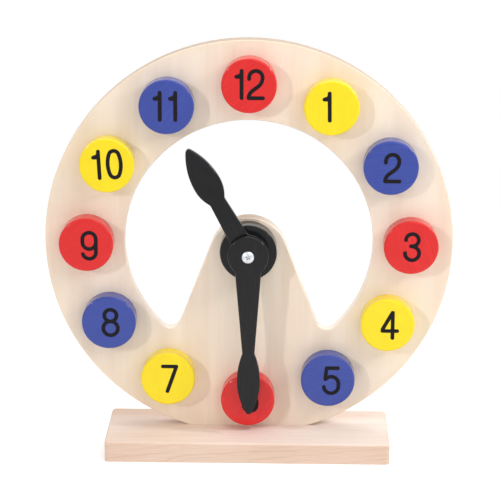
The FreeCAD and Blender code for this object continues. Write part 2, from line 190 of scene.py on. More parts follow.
class ClockHub(bpy.types.PropertyGroup):
    """Hub block, pivot screw and base screws."""

    block_round: length("Block rim", "Rounding of the hub block's front rim", 0.9)
    head_dome: length("Head dome", "Rise of the pan head over its rim", 1.2)
    head_height: length("Head height", "Top of the pan head to its seat", 2.4)
    recess_arm: length("Recess arm", "Centre to end of one arm of the cross recess", 1.9)
    recess_width: length("Recess width", "Width of one arm of the cross recess", 0.9)
    recess_depth: length("Recess depth", "Depth of the cross recess", 1.3)
    recess_taper: share("Recess taper", "Bottom of the recess as a share of its mouth", 0.4)
    recess_turn: angle("Recess turn", "Turn of the pivot screw's recess", 25)
    shank_radius: length("Shank radius", "Shank of every screw, and the block's bore", 1.75)
    screw_point: length("Screw point", "Length of every screw's point", 4.0)


class ClockHands(bpy.types.PropertyGroup):
    """What the two hands have in common."""

    boss_radius: length("Boss radius", "Round end at the pivot", 12.0)
    boss_fillet: length("Boss fillet", "Inside corners between boss and shank", 5.0)
    neck_fillet: length("Neck fillet", "Inside corners between shank and blade", 3.0)
    tip_radius: length("Tip radius", "Point of the blade", 2.0)
    bore_radius: length("Bore radius", "Hole for the pivot screw", 1.85)
    edge_round: length("Edge", "Rounding of the edges", 0.9)


class HourHand(bpy.types.PropertyGroup):
    """Outline and place of the hour hand."""

    reach: length("Length", "Pivot to tip", 71.6)
    blade_at: length("Blade at", "Pivot to the blade's widest place", 48.0)
    neck_at: length("Neck at", "Pivot to the neck", 36.4)
    shank_half: length("Shank", "Half width at the pivot", 6.4)
    neck_half: length("Neck", "Half width at the neck", 4.8)
    blade_half: length("Blade", "Half width of the blade", 8.2)
    stands_at: angle("Stands at", "Clockwise from 12", 330.4)


class MinuteHand(bpy.types.PropertyGroup):
    """Outline and place of the minute hand."""

    reach: length("Length", "Pivot to tip", 97.0)
    blade_at: length("Blade at", "Pivot to the blade's widest place", 76.2)
    neck_at: length("Neck at", "Pivot to the neck", 59.5)
    shank_half: length("Shank", "Half width at the pivot", 8.4)
    neck_half: length("Neck", "Half width at the neck", 3.6)
    blade_half: length("Blade", "Half width of the blade", 6.8)
    stands_at: angle("Stands at", "Clockwise from 12", 179.6)


class ClockStage(bpy.types.PropertyGroup):
    """Camera, lamps and floor."""

    target: place_of("Target", "What the camera and the lamps point at", 0, 0.0025, 0.1265)
    distance: length("Distance", "Camera to target", 1196.0)
    azimuth: angle("Azimuth", "Camera to the right of straight ahead", 1.139)
    elevation: angle("Elevation", "Camera above the horizon", 15.16)
    roll: angle("Roll", "Camera about its own axis", 0.228)
    lens: bpy.props.FloatProperty(
        name="Lens", description="Focal length", default=146.3, unit="CAMERA"
    )
    shift_x: bpy.props.FloatProperty(name="Shift X", description="Framing", default=0.0026)
    shift_y: bpy.props.FloatProperty(name="Shift Y", description="Framing", default=-0.0166)
    daylight: number("Daylight", "Strength of the white surroundings", 0.57)
    floor_radius: length("Floor radius", "Half width of the round floor", 9000.0)
    floor_gap: length("Floor gap", "Between the clock's underside and the floor", 0.05)
    floor_tone: share("Floor tone", "Share of the light that the floor gives back", 0.8)
    floor_glow: share("Floor glow", "White that the floor shows the camera near the clock", 0.3)
    floor_near: length("Near floor", "Where the floor starts to fade to white", 250.0)
    floor_far: length("Far floor", "Where the floor is all white", 700.0)


# ---------------------------------------------------------------- materials

class Shade:
    """A number from a node's socket; sums on it add Math nodes."""

    def __init__(self, finish, socket):
        self.finish = finish
        self.socket = socket

    def maths(self, operation, *numbers):
        sockets = dict(enumerate(numbers))
        return self.finish.node("ShaderNodeMath", {"operation": operation}, sockets)

    def __add__(self, other):
        return self.maths("ADD", self, other)

    def __sub__(self, other):
        return self.maths("SUBTRACT", self, other)

    def __rsub__(self, other):
        return self.maths("SUBTRACT", other, self)

    def __mul__(self, other):
        return self.maths("MULTIPLY", self, other)

    def __truediv__(self, other):
        return self.maths("DIVIDE", self, other)

    def __pow__(self, other):
        return self.maths("POWER", self, other)

    def __mod__(self, other):
        return self.maths("FLOORED_MODULO", self, other)

    def __abs__(self):
        return self.maths("ABSOLUTE", self)

    __radd__ = __add__
    __rmul__ = __mul__

    def ramp(self, low, high):
        """0 up to low, 1 from high on, and smooth in between."""
        sockets = {"Value": self, "From Min": low, "From Max": high}
        return self.finish.node("ShaderNodeMapRange", {"interpolation_type": "SMOOTHSTEP"}, sockets)


class NodeTree:
    """The nodes of a material or of the world, started afresh."""

    def __init__(self, owner, output_kind):
        owner.use_nodes = True
        self.tree = owner.node_tree
        self.tree.nodes.clear()
        self.output = self.tree.nodes.new(output_kind)

    def show(self, shader):
        self.feed(self.output, "Surface", shader)

    def feed(self, node, key, source):
        """Link a socket to a Shade, or set it to a number, a colour or a vector."""
        socket = node.inputs[key]
        if isinstance(source, Shade):
            self.tree.links.new(source.socket, socket)
        elif socket.type == "RGBA":
            socket.default_value = (*source[:3], 1)
        else:
            socket.default_value = source

    def node(self, kind, settings, sockets, output=0):
        """Add a node, with its settings first and its sockets after; gives one output."""
        node = self.tree.nodes.new(kind)
        for name, setting in settings.items():
            setattr(node, name, setting)
        for key, source in sockets.items():
            self.feed(node, key, source)
        return Shade(self, node.outputs[output])

    def seen(self):
        """1 for rays from the camera, mirrors and glass, and 0 for rays that carry light."""
        kinds = ("Is Camera Ray", "Is Glossy Ray", "Is Transmission Ray")
        camera, glossy, clear = (self.node("ShaderNodeLightPath", {}, {}, kind) for kind in kinds)
        return camera.maths("MINIMUM", camera + glossy + clear, 1.0)


class Finish(NodeTree):
    """One material, with a Principled shader whose constants are set at once."""

    def __init__(self, name, **constants):
        self.material = bpy.data.materials.new(name)
        super().__init__(self.material, "ShaderNodeOutputMaterial")
        self.surface = self.tree.nodes.new("ShaderNodeBsdfPrincipled")
        self.show(Shade(self, self.surface.outputs[0]))
        for socket, constant in constants.items():
            self.feed(self.surface, socket.replace("_", " "), constant)

    def split(self, vector):
        """The three numbers of a vector."""
        return [self.node("ShaderNodeSeparateXYZ", {}, {0: vector}, i) for i in range(3)]

    def place(self):
        """X, Y and Z of the object's own space, in millimetres."""
        spot = self.node("ShaderNodeTexCoord", {}, {}, "Object")
        grown = self.node("ShaderNodeVectorMath", {"operation": "SCALE"}, {0: spot, "Scale": 1 / MM})
        return self.split(grown)

    def carried(self, attribute):
        """X, Y and Z of a vector that the mesh carries, in millimetres."""
        settings = {"attribute_name": attribute}
        return self.split(self.node("ShaderNodeAttribute", settings, {}, "Vector"))

    def noise(self, x, y, z, detail=2.0):
        """Noise between about 0 and 1, with features about one unit across."""
        spot = self.node("ShaderNodeCombineXYZ", {}, {0: x, 1: y, 2: z})
        sockets = {"Vector": spot, "Scale": 1.0, "Detail": detail}
        return self.node("ShaderNodeTexNoise", {}, sockets)

    def mix(self, factor, first, second, blend="MIX"):
        """A colour between two others, or the second blended into the first."""
        settings = {"data_type": "RGBA", "blend_type": blend}
        return self.node("ShaderNodeMix", settings, {0: factor, 6: first, 7: second}, 2)

    def tint(self, factor, shade, tint):
        """A colour multiplied by another, by as much as factor says."""
        return self.mix(factor, shade, tint, "MULTIPLY")

    def lay(self, colour, roughness, relief, depth):
        """Colour, roughness and a relief of that depth in millimetres; gives the material."""
        sockets = {"Height": relief, "Distance": depth * MM, "Strength": 1.0}
        bump = self.node("ShaderNodeBump", {}, sockets)
        for key, source in (("Base Color", colour), ("Roughness", roughness), ("Normal", bump)):
            self.feed(self.surface, key, source)
        return self.material


def plywood(wood):
    """Pale birch plywood: upright fibres on the faces, plies along the edges."""
    finish = Finish("birch_plywood", IOR=1.42)
    x, y, z = finish.place()
    front, back = (corner.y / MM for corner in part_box("dial_plate"))
    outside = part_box("dial_plate")[1].x / MM
    centre = ring_centre() / MM

    fibres = finish.noise(x * 1.5, y * 0.6, z * 0.035, detail=3.0)
    bands = finish.noise(x * 0.075, y * 0.1, z * 0.006)
    pores = finish.noise(x * 3.4, y * 3.4, z * 0.16, detail=1.0).ramp(0.66, 0.8)
    tone = (fibres - 0.5) * 0.42 + bands.ramp(0.38, 0.64) * 0.5 + 0.12 + pores * 0.25
    face = finish.mix(tone, wood.face_pale, wood.face_warm)

    # Along the edge, every second ply shows its end grain, with glue lines between plies.
    ply = (y - front) * (wood.plies / (back - front))
    across = (ply + 1) % 2
    cross_grain = across.ramp(0.9, 1.1) * (1 - across.ramp(1.9, 2.0))
    glue_line = abs(ply % 1 - 0.5).ramp(0.40, 0.47)
    specks = finish.noise(x * 2.6, y * 2.6, z * 2.6, detail=3.0)
    streaks = finish.noise(x * 0.12, y * 5.0, z * 0.12)
    edge_tone = cross_grain * (specks * 0.7 + 0.25) + (1 - cross_grain) * (streaks - 0.3) * 0.5
    edge = finish.mix(edge_tone + glue_line * 0.3, wood.edge_pale, wood.edge_warm)

    # Painted light makes the walls of the opening paler, and painted shade tones down the walls that
    # face up.
    rise = z - centre.z
    away = ((x - centre.x) ** 2 + rise ** 2) ** 0.5
    up_facing_shade = (rise / away) ** 2 * rise.ramp(-5, 10)
    opening_light_mask = 1 - away.ramp(outside * 0.65, outside * 0.75)
    edge = finish.mix(opening_light_mask * (1 - up_facing_shade) * 0.6, edge, wood.opening_wall_light)
    edge = finish.tint(up_facing_shade, edge, wood.up_wall_shade_tint)
    # A warmer band round the outside of the face.
    rim = away.ramp(outside - wood.rim_width / MM, outside)
    face = finish.mix(rim * 0.7, face, wood.rim_warm)
    wall = y.ramp(front + 0.05, front + 0.75) * (1 - y.ramp(back - 0.75, back - 0.05))
    relief = fibres * 0.5 - pores * 0.5 + wall * (1 - glue_line) * 0.6
    return finish.lay(finish.mix(wall, face, edge), 0.5 + fibres * 0.16, relief, 0.05)


def solid_wood(wood):
    """The base board: close, slanting growth rings and short flecks along X."""
    finish = Finish("pale_beech", IOR=1.36)
    x, y, z = finish.place()
    spacing = wood.ring_spacing / MM
    drift = finish.noise(x * 0.011, y * 0.035, z * 0.05)
    wobble = finish.noise(x * 0.06, y * 0.25, z * 0.3)
    rise = z - x * wood.ring_slope + y * wood.ring_dip
    years = rise / spacing + drift * 2.6 + wobble * 0.5
    ring = years % 1
    line = ring.ramp(0.72, 0.97) * (1 - ring.ramp(0.97, 1.0))
    vary = finish.noise(x * 0.03, years * 0.9, y * 0.1, detail=1.0).ramp(0.3, 0.65)
    streaks = finish.noise(x * 0.02, years * 6.5, y * 0.2, detail=3.0)
    fibres = finish.noise(x * 0.05, y * 1.9, z * 1.9, detail=3.0)
    flecks = finish.noise(x * 0.22, y * 2.8, z * 2.8, detail=1.0).ramp(0.64, 0.76)
    blush = finish.noise(x * 0.014, y * 0.05, z * 0.05, detail=1.0)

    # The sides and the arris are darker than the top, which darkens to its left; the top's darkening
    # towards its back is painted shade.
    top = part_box("base_board")[1].z / MM
    side = 1 - z.ramp(top - 0.75, top - 0.05)
    arris = z.ramp(top - 0.95, top - 0.5) * (1 - z.ramp(top - 0.3, top))
    right_part, painted_back_shade = x.ramp(-80, 50), y.ramp(0, 24)
    upper = 0.5 - right_part * 0.33 + painted_back_shade * 0.3
    fade = side * 0.38 + (1 - side) * upper + arris * 0.25

    lines = line * vary * (side * 0.22 + 0.14) + (streaks - 0.5) * (side * 0.26 + 0.5)
    lines = lines + (fibres - 0.5) * (side * 0.3 + 0.6)
    tone = lines + flecks * 0.16 + (blush.ramp(0.35, 0.7) - 0.5) * 0.2 + fade
    board = finish.mix(tone, wood.board_pale, wood.board_warm)
    board = finish.tint(side, board, wood.board_front)
    relief = fibres * 0.5 - line * 0.2 - flecks * 0.3
    return finish.lay(board, 0.5 + fibres * 0.16, relief, 0.05)


def dowel_wood(wood):
    """Turned dowels: streaks and pores along Y."""
    finish = Finish("dowel_wood", IOR=1.45)
    x, y, z = finish.place()
    streaks = finish.noise(x * 2.4, y * 0.12, z * 2.4, detail=3.0)
    pores = finish.noise(x * 5.0, y * 0.4, z * 5.0, detail=1.0).ramp(0.6, 0.72)
    tone = (streaks - 0.35) * 0.9 + pores * 0.35
    colour = finish.mix(tone, wood.dowel_pale, wood.dowel_warm)
    return finish.lay(colour, 0.52 + streaks * 0.2, streaks * 0.5 - pores * 0.5, 0.06)


def enamel(name, paint, base, ior):
    """Brushed gloss paint over wood, with faint streaks along the mesh's own grain."""
    finish = Finish(
        name, IOR=paint.paint_ior, Coat_Weight=paint.coat, Coat_IOR=ior,
        Coat_Roughness=paint.coat_roughness,
    )
    u, v, w = finish.carried("grain")
    streaks = finish.noise(u * 0.09, v * 1.5, w * 0.3, detail=3.0)
    peel = finish.noise(u * 0.55, v * 0.55, w * 0.55)
    patches = finish.noise(u * 0.07, v * 0.12, w * 0.1, detail=1.0)
    worn = patches.ramp(0.35, 0.65) * 0.7 + 0.3
    # The lighter the paint, the fainter its streaks.
    marks = 1.6 - base[1] * 1.5
    thin = (streaks - 0.5) * worn * marks + (patches - 0.5) * 0.3 + 0.5
    deep = [channel * 0.86 for channel in base]
    light = [min(1, channel * 1.12 + 0.012) for channel in base]
    roughness = paint.gloss_roughness - 0.05 + streaks * 0.1
    return finish.lay(finish.mix(thin, deep, light), roughness, streaks * 0.5 + peel * 0.7, 0.06)


def ink(paint):
    """Printed numerals: matt black with a slightly uneven film."""
    finish = Finish("printed_ink", IOR=1.2)
    x, y, z = finish.place()
    film = finish.noise(x * 1.2, y, z * 1.2)
    thin = [channel * 1.9 for channel in paint.ink]
    colour = finish.mix(film.ramp(0.45, 0.8) * 0.5, paint.ink, thin)
    return finish.lay(colour, 0.42 + film * 0.15, film, 0.01)


def steel(paint):
    """Zinc-plated steel: bright, with a fine grit and dull patches."""
    finish = Finish("zinc_plated_steel", Metallic=1.0)
    x, y, z = finish.place()
    patches = finish.noise(x * 1.1, y * 1.1, z * 1.1)
    grit = finish.noise(x * 7.0, y * 7.0, z * 7.0)
    dull = [channel * 0.82 for channel in paint.steel]
    colour = finish.mix(patches.ramp(0.4, 0.7), paint.steel, dull)
    return finish.lay(colour, paint.steel_roughness - 0.06 + patches * 0.14, grit, 0.008)


# ---------------------------------------------------------------- modelling

def deselect_all():
    bpy.ops.object.select_all(action="DESELECT")


def work_on(obj):
    """Make obj the only selected object, and the active one."""
    deselect_all()
    obj.select_set(True)
    bpy.context.view_layer.objects.active = obj


def edit(on):
    """Go into edit mode, or back to object mode."""
    bpy.ops.object.mode_set(mode="EDIT" if on else "OBJECT")


def pick(kind, wanted):
    """In edit mode, select only the vertices, edges or faces that wanted accepts."""
    bpy.ops.mesh.select_mode(type=kind)
    bpy.ops.mesh.select_all(action="DESELECT")
    mesh = bpy.context.object.data
    shape = bmesh.from_edit_mesh(mesh)
    items = {"VERT": shape.verts, "EDGE": shape.edges, "FACE": shape.faces}[kind]
    for item in items:
        if wanted(item):
            item.select_set(True)
    shape.select_flush_mode()
    bmesh.update_edit_mesh(mesh)


def near(first, second, slack=CLOSE):
    """Whether two numbers are nearly equal."""
    return abs(first - second) < slack


def flat_at(y):
    """Accepts an edge or a face whose vertices all lie in the plane at y."""
    return lambda item: all(near(vertex.co.y, y) for vertex in item.verts)


def merge_points(distance=CLOSE):
    """In edit mode, select everything and merge the points within that distance."""
    bpy.ops.mesh.select_all(action="SELECT")
    bpy.ops.mesh.remove_doubles(threshold=distance)


def tidy_mesh():
    """In edit mode, merge doubles and turn every face outwards."""
    merge_points(CLOSEST)
    bpy.ops.mesh.normals_make_consistent(inside=False)


def pull(x, y, z):
    """In edit mode, extrude what is selected."""
    bpy.ops.mesh.extrude_region_move(TRANSFORM_OT_translate={"value": (x, y, z)})


def thicken(depth):
    """In edit mode, pull a flat outline at y 0 forwards into a closed solid."""
    bpy.ops.mesh.select_mode(type="FACE")
    bpy.ops.mesh.select_all(action="SELECT")
    pull(0, -depth, 0)
    tidy_mesh()


def apply_modifier(obj, kind, **settings):
    work_on(obj)
    modifier = obj.modifiers.new(kind.title(), kind)
    for name, setting in settings.items():
        setattr(modifier, name, setting)
    bpy.ops.object.modifier_apply(modifier=modifier.name)


def apply_place(obj):
    """Put the object's place, turn and scale into its mesh."""
    work_on(obj)
    bpy.ops.object.transform_apply(location=True, rotation=True, scale=True)


def copy_of(obj, name):
    """A copy with its own mesh."""
    work_on(obj)
    bpy.ops.object.duplicate(linked=False)
    copy = bpy.context.object
    copy.name = copy.data.name = name
    return copy


def discard(obj):
    work_on(obj)
    bpy.ops.object.delete()


def boolean(obj, tool, operation):
    """Join or cut obj with a tool that is used up."""
    apply_modifier(obj, "BOOLEAN", operation=operation, object=tool, solver="EXACT")
    discard(tool)


def soften(obj, degrees=40):
    """Smooth shading over roundings, with large flat faces left flat."""
    work_on(obj)
    bpy.ops.object.shade_smooth_by_angle(angle=math.radians(degrees))
    apply_modifier(obj, "WEIGHTED_NORMAL", keep_sharp=True)


def finish_piece(obj, body, slot, material, *nodes):
    """Give a finished piece its material and its body, and hide the nodes it stands for; slot is not
    used.
    """
    obj.data.materials.clear()
    obj.data.materials.append(material)
    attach(obj, body)
    if nodes:
        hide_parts(*nodes)


def dress_node(name, material):
    """Give a CAD node a material in each of its slots."""
    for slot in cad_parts[name].material_slots:
        slot.material = material


def disc_node(hour):
    """Node of an hour's disc. The three paints take turns."""
    return f"number_{hour:02d}_{PAINTS[hour % len(PAINTS)]}"


def peg_body(hour):
    """Body that an hour's disc, dowel and numeral ride on."""
    return f"number_peg_{hour:02d}"


def middle_of(node):
    low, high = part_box(node)
    return (low + high) / 2


def ring_centre():
    """Centre of the plate's ring: as far under its top as its half width."""
    low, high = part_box("dial_plate")
    return Vector((0, low.y, high.z - high.x))


def lay_grain(obj, along, across, middle=Vector((0, 0, 0)), depth=0.0):
    """Let a painted mesh carry millimetres along and across its streaks, and its depth."""
    grain = obj.data.attributes.new("grain", "FLOAT_VECTOR", "POINT")
    for vertex, entry in zip(obj.data.vertices, grain.data):
        spot = (vertex.co - middle) / MM
        entry.vector = (spot.dot(along), spot.dot(across), spot.y + depth)


def lay_upright_grain(obj, turn=0.0):
    """Grain along the upright, turned clockwise by turn."""
    along = Vector((math.sin(turn), 0, math.cos(turn)))
    across = Vector((math.cos(turn), 0, -math.sin(turn)))
    lay_grain(obj, along, across)


def add_turned_block(name, low, high, sides, rounds):
    """A round block along Y that fills a box, with its front and back rims rounded."""
    deselect_all()
    bpy.ops.mesh.primitive_cylinder_add(
        vertices=sides, radius=(high.x - low.x) / 2, depth=high.y - low.y,
        location=(low + high) / 2, rotation=(math.pi / 2, 0, 0),
    )
    block = bpy.context.object
    block.name = block.data.name = name
    apply_place(block)
    edit(True)
    for y, size in ((low.y, rounds[0]), (high.y, rounds[1])):
        if size:
            pick("EDGE", flat_at(y))
            bpy.ops.mesh.bevel(offset=size, segments=RIM_STEPS, affect="EDGES")
    edit(False)
    return block


class Pen:
    """Draws in the X-Z plane as edit mode extrudes and spins a vertex, or an edge as a nib.

    Points are in metres. Turns are in degrees, anticlockwise as seen from -Y.
    """

    # How far a chord may stand off its arc.
    SLACK = 0.008 * MM

    def __init__(self, name, start, width=0.0, heading=None):
        deselect_all()
        bpy.ops.mesh.primitive_circle_add(vertices=3, radius=MM)
        self.drawn = bpy.context.object
        self.drawn.name = self.drawn.data.name = name
        self.at = Vector(start)
        self.width = width
        edit(True)
        bpy.ops.mesh.select_mode(type="VERT")
        bpy.ops.mesh.select_all(action="SELECT")
        bpy.ops.mesh.merge(type="CENTER")
        side = self.side(heading) if width else Vector((0, 0))
        self.shift(self.at + side)
        if width:
            self.extrude(-2 * side)
            bpy.ops.mesh.select_all(action="SELECT")

    def side(self, heading):
        """From the middle of the nib to its left end."""
        return Vector((-heading[1], heading[0])).normalized() * self.width / 2

    def shift(self, by):
        """Move the nib without drawing."""
        bpy.ops.transform.translate(value=(by.x, 0, by.y))

    def extrude(self, by):
        pull(by.x, 0, by.y)

    def spin(self, centre, degrees, steps):
        bpy.ops.mesh.spin(
            steps=steps, angle=math.radians(degrees), center=(centre.x, 0, centre.y),
            axis=(0, 1, 0),
        )

    def line(self, end):
        """A straight line to a point."""
        end = Vector(end)
        self.extrude(end - self.at)
        self.at = end

    def arc(self, centre, degrees):
        """An arc about a centre, in chords that stay close to it."""
        centre = Vector(centre)
        spoke = self.at - centre
        reach = spoke.length + self.width / 2
        step = 2 * math.degrees(math.acos(1 - self.SLACK / reach))
        self.spin(centre, degrees, max(2, math.ceil(abs(degrees) / step)))
        self.at = centre + Matrix.Rotation(math.radians(degrees), 2) @ spoke

    def arc_to(self, centre, end, turn):
        """An arc to a point; turn is 1 for anticlockwise and -1 for clockwise."""
        start, stop = self.at - Vector(centre), Vector(end) - Vector(centre)
        swept = math.degrees(math.atan2(stop.y, stop.x) - math.atan2(start.y, start.x))
        self.arc(centre, turn * ((turn * swept) % 360))
        self.at = Vector(end)

    def cap(self, at, heading):
        """Round off one end of a stroke."""
        at, heading = Vector(at), Vector(heading).normalized()
        side = self.side(heading)

        def at_left_end(vertex):
            return (vertex.co.xz - at - side).length < CLOSE

        def on_cap(vertex):
            spoke = vertex.co.xz - at
            return near(spoke.length, self.width / 2, 2 * CLOSE) and spoke.dot(heading) > -CLOSE

        pick("VERT", at_left_end)
        self.spin(at, -180, CAP_STEPS)
        merge_points()
        pick("VERT", on_cap)
        bpy.ops.mesh.edge_face_add()


# Each numeral is drawn in millimetres on a field that runs from 0 at its foot to 17.6 at its
# top. A stroke is its start and its moves: two numbers are the end of a straight line, three
# are an arc's centre and its turn in degrees, anticlockwise.
NUMERAL_MIDDLE = 8.8
NINE = [
    ((3.9, 12.8), [(0, 12.8, 180), (-3.9, 10.7), (0, 10.7, 180), (3.9, 12.8)]),
    ((3.9, 12.8), [(3.9, 4.8), (0, 4.8, -164)]),
]
STROKES = {
    "0": [((3.8, 8.8), [(-13.44, 8.8, -20.4), (0, 3.8, -139.2), (13.44, 8.8, -40.8),
                        (0, 13.8, -139.2), (-13.44, 8.8, -20.4)])],
    "1": [((0, 16.7), [(0, 0.9)]), ((-3.0, 13.2), [(0, 13.2)]),
          ((-2.4, 13.5), [(-2.4, 15.9, 90)])],
    "2": [((-3.85, 12.0), [(-3.85, 12.85), (0, 12.85, -180), (-2.75, 12.85, -52),
                           (-2.178, 4.923), (0.9, 0.985, 52)]),
          ((-4.1, 0.9), [(4.15, 0.9)])],
    "3": [((-3.7, 13.0), [(0, 13.0, -260)]), ((-0.7, 9.35), [(0.8, 9.35)]),
          ((0, 9.1), [(0, 5.0, -273)])],
    "4": [((-4.2, 6.2), [(1.5, 16.5)]), ((-4.2, 6.2), [(-4.2, 5.2)]),
          ((-4.2, 5.2), [(4.45, 5.2)]), ((1.7, 16.5), [(1.7, 0.9)])],
    "5": [((-2.7, 16.6), [(3.9, 16.6)]), ((-2.8, 16.6), [(-3.5, 9.7)]),
          ((-3.388, 9.597), [(0, 6.95, -142), (4.3, 5.2), (0, 5.2, -175)])],
    "6": NINE,
    "7": [((-4.2, 16.7), [(3.7, 16.7)]), ((3.8, 16.7), [(-1.6, 1.2)])],
    "8": [((3.6, 13.1), [(0, 13.1, 360)]), ((4.3, 5.2), [(0, 5.2, 360)])],
    "9": NINE,
}
UPSIDE_DOWN = "6"

# For each hour: its figures with the place of each across the numeral, then the numeral's
# own place on its disc, across and up, in millimetres, and its turn anticlockwise in degrees.
NUMERALS = {
    1: ([("1", 0.0)], (-1.2, 0.95), 1.0),
    2: ([("2", 0.0)], (0.7, 0.2), 0.0),
    3: ([("3", 0.0)], (0.5, 0.6), 0.0),
    4: ([("4", 0.0)], (1.2, 0.35), 0.0),
    5: ([("5", 0.0)], (2.0, 0.3), 0.0),
    6: ([("6", 0.0)], (1.4, 1.2), 0.0),
    7: ([("7", 0.0)], (1.3, 0.2), 0.0),
    8: ([("8", 0.0)], (1.1, 0.3), 0.0),
    9: ([("9", 0.0)], (2.0, -0.35), 0.0),
    10: ([("1", -4.85), ("0", 4.1)], (0.5, 0.9), 3.0),
    11: ([("1", -2.9), ("1", 6.0)], (-0.7, 0.6), 0.0),
    12: ([("1", -4.5), ("2", 3.65)], (0.3, 0.95), 0.0),
}

# Way that the paint streaks run on each disc, in degrees anticlockwise from across.
STREAKS = {1: 80, 2: 8, 3: 110, 4: 150, 5: 20, 6: 60, 7: 95, 8: 170, 9: 40, 10: 120, 11: 55, 12: 32}

# Depth in the streak pattern from one hour's disc to the next, in millimetres.
STREAK_STEP = 37


def heading_after(start, move):
    """Way that a move runs from start: to a line's end, or at a tangent to its arc."""
    if len(move) == 2:
        return Vector(move) - Vector(start)
    spoke = Vector(start) - Vector(move[:2])
    return Vector((-spoke.y, spoke.x)) * math.copysign(1, move[2])


def draw_stroke(name, start, moves, numbers):
    """One stroke as a thin closed solid, its back at y 0; a ring has no ends to round off."""
    start = Vector(start)
    pen = Pen(name, start * MM, numbers.stroke, heading_after(start, moves[0]))
    for move in moves:
        before = pen.at.copy()
        if len(move) == 2:
            pen.line(Vector(move) * MM)
            heading = pen.at - before
        else:
            centre = Vector(move[:2]) * MM
            pen.arc(centre, move[2])
            heading = heading_after(pen.at, (*centre, move[2]))
    merge_points()
    if (pen.at - start * MM).length > 10 * CLOSE:
        pen.cap(pen.at, heading)
        pen.cap(start * MM, -heading_after(start, moves[0]))
    thicken(numbers.ink_film)
    edit(False)
    return pen.drawn


def draw_figure(figure, numbers):
    """One figure, its strokes made one solid, centred on its own middle."""
    first, *rest = STROKES[figure]
    solid = draw_stroke(f"figure_{figure}", *first, numbers)
    for stroke in rest:
        boolean(solid, draw_stroke("stroke", *stroke, numbers), "UNION")
    work_on(solid)
    edit(True)
    # Joining leaves hair cracks and cut-up flat faces: this closes and clears them.
    merge_points()
    bpy.ops.mesh.dissolve_limited(angle_limit=math.radians(0.5))
    edit(False)
    solid.location.z = -NUMERAL_MIDDLE * MM
    apply_place(solid)
    if figure == UPSIDE_DOWN:
        solid.rotation_euler.y = math.pi
        apply_place(solid)
    return solid


def fillet_centre(start, way, radius, circle, reach, crossing):
    """Centre of an arc to the right of a line, at a distance from the middle of a circle.

    Of the two places, crossing -1 gives the first along the line and 1 the second.
    """
    offset = start + Vector((way.y, -way.x)) * radius - circle
    half = math.sqrt(offset.dot(way) ** 2 - offset.length_squared + reach ** 2)
    return offset + circle + way * (crossing * half - offset.dot(way))


def draw_hand(name, hand, shared, thickness):
    """A hand that points up from a pivot at the origin, its back at y 0."""
    wide = Vector((hand.blade_half, hand.blade_at))
    neck = Vector((hand.neck_half, hand.neck_at))
    root = Vector((hand.shank_half, 0))
    way = (neck - root).normalized()
    boss, origin = shared.boss_radius, Vector((0, 0))

    # Each side of the blade is two arcs that meet at its widest place: one starts at the neck,
    # and the other runs into the tip.
    rise, waist = wide.y - neck.y, wide.x - neck.x
    low_radius = (rise ** 2 + waist ** 2) / (2 * waist)
    low_centre = wide - Vector((low_radius, 0))
    tip = Vector((0, hand.reach - shared.tip_radius))
    span = tip.y - wide.y
    high_radius = (span ** 2 + wide.x ** 2 - shared.tip_radius ** 2) / (
        2 * (wide.x - shared.tip_radius)
    )
    high_centre = wide - Vector((high_radius, 0))
    touch = tip + (tip - high_centre).normalized() * shared.tip_radius

    at_boss, at_neck = shared.boss_fillet, shared.neck_fillet
    boss_fillet = fillet_centre(root, way, at_boss, origin, boss + at_boss, 1)
    neck_fillet = fillet_centre(neck, way, at_neck, low_centre, low_radius + at_neck, -1)
    left_of = Vector((-way.y, way.x))

    pen = Pen(name, (0, -boss))
    pen.arc_to(origin, boss_fillet.normalized() * boss, 1)
    pen.arc_to(boss_fillet, boss_fillet + left_of * at_boss, -1)
    pen.line(neck_fillet + left_of * at_neck)
    to_blade = (neck_fillet - low_centre).normalized() * low_radius
    pen.arc_to(neck_fillet, low_centre + to_blade, -1)
    pen.arc_to(low_centre, wide, 1)
    pen.arc_to(high_centre, touch, 1)
    pen.arc_to(tip, (0, hand.reach), 1)
    pen.line((0, shared.bore_radius))
    pen.arc_to(origin, (0, -shared.bore_radius), -1)
    pen.line((0, -boss))
    merge_points()
    bpy.ops.mesh.edge_face_add()
    edit(False)
    apply_modifier(pen.drawn, "MIRROR", merge_threshold=CLOSE)
    edit(True)
    thicken(thickness)

    def outer_rim(edge):
        first, second = (vertex.co for vertex in edge.verts)
        outside = first.xz.length > 2 * shared.bore_radius
        return near(first.y, second.y) and edge.calc_face_angle(0) > 1 and outside

    pick("EDGE", outer_rim)
    bpy.ops.mesh.bevel(offset=shared.edge_round, segments=EDGE_STEPS, affect="EDGES")
    edit(False)
    return pen.drawn


def draw_screw(name, profile, hub):
    """A screw turned from a profile about Z, with a tapered cross recess in its head.

    The profile is a list of points, and of arcs as a centre, an end and a turn. The head's
    face is at z 0, and the screw points up.
    """
    first, *rest = profile
    pen = Pen(name, first)
    for move in rest:
        if isinstance(move, tuple):
            pen.arc_to(*move)
        else:
            pen.line(move)
    bpy.ops.mesh.select_all(action="SELECT")
    bpy.ops.mesh.spin(steps=SCREW_SIDES, angle=math.tau, center=(0, 0, 0), axis=(0, 0, 1))
    tidy_mesh()
    edit(False)
    boolean(pen.drawn, add_recess(hub), "DIFFERENCE")
    return pen.drawn


def add_recess(hub):
    """Solid of a cross recess that narrows upwards, and that stands out below the head."""
    arms = []
    deep, over, taper = hub.recess_depth, 0.5 * MM, hub.recess_taper
    for turn in (0, math.pi / 2):
        deselect_all()
        bpy.ops.mesh.primitive_cube_add(size=1)
        arm = bpy.context.object
        arm.scale = (2 * hub.recess_arm, hub.recess_width, deep + over)
        arm.location.z = (deep - over) / 2
        arm.rotation_euler.z = turn
        apply_place(arm)
        edit(True)
        pick("FACE", lambda face: all(near(vertex.co.z, deep) for vertex in face.verts))
        bpy.ops.transform.resize(value=(taper, taper, 1), center_override=(0, 0, deep))
        edit(False)
        arms.append(arm)
    boolean(arms[0], arms[1], "UNION")
    return arms[0]


# ---------------------------------------------------------------- operators

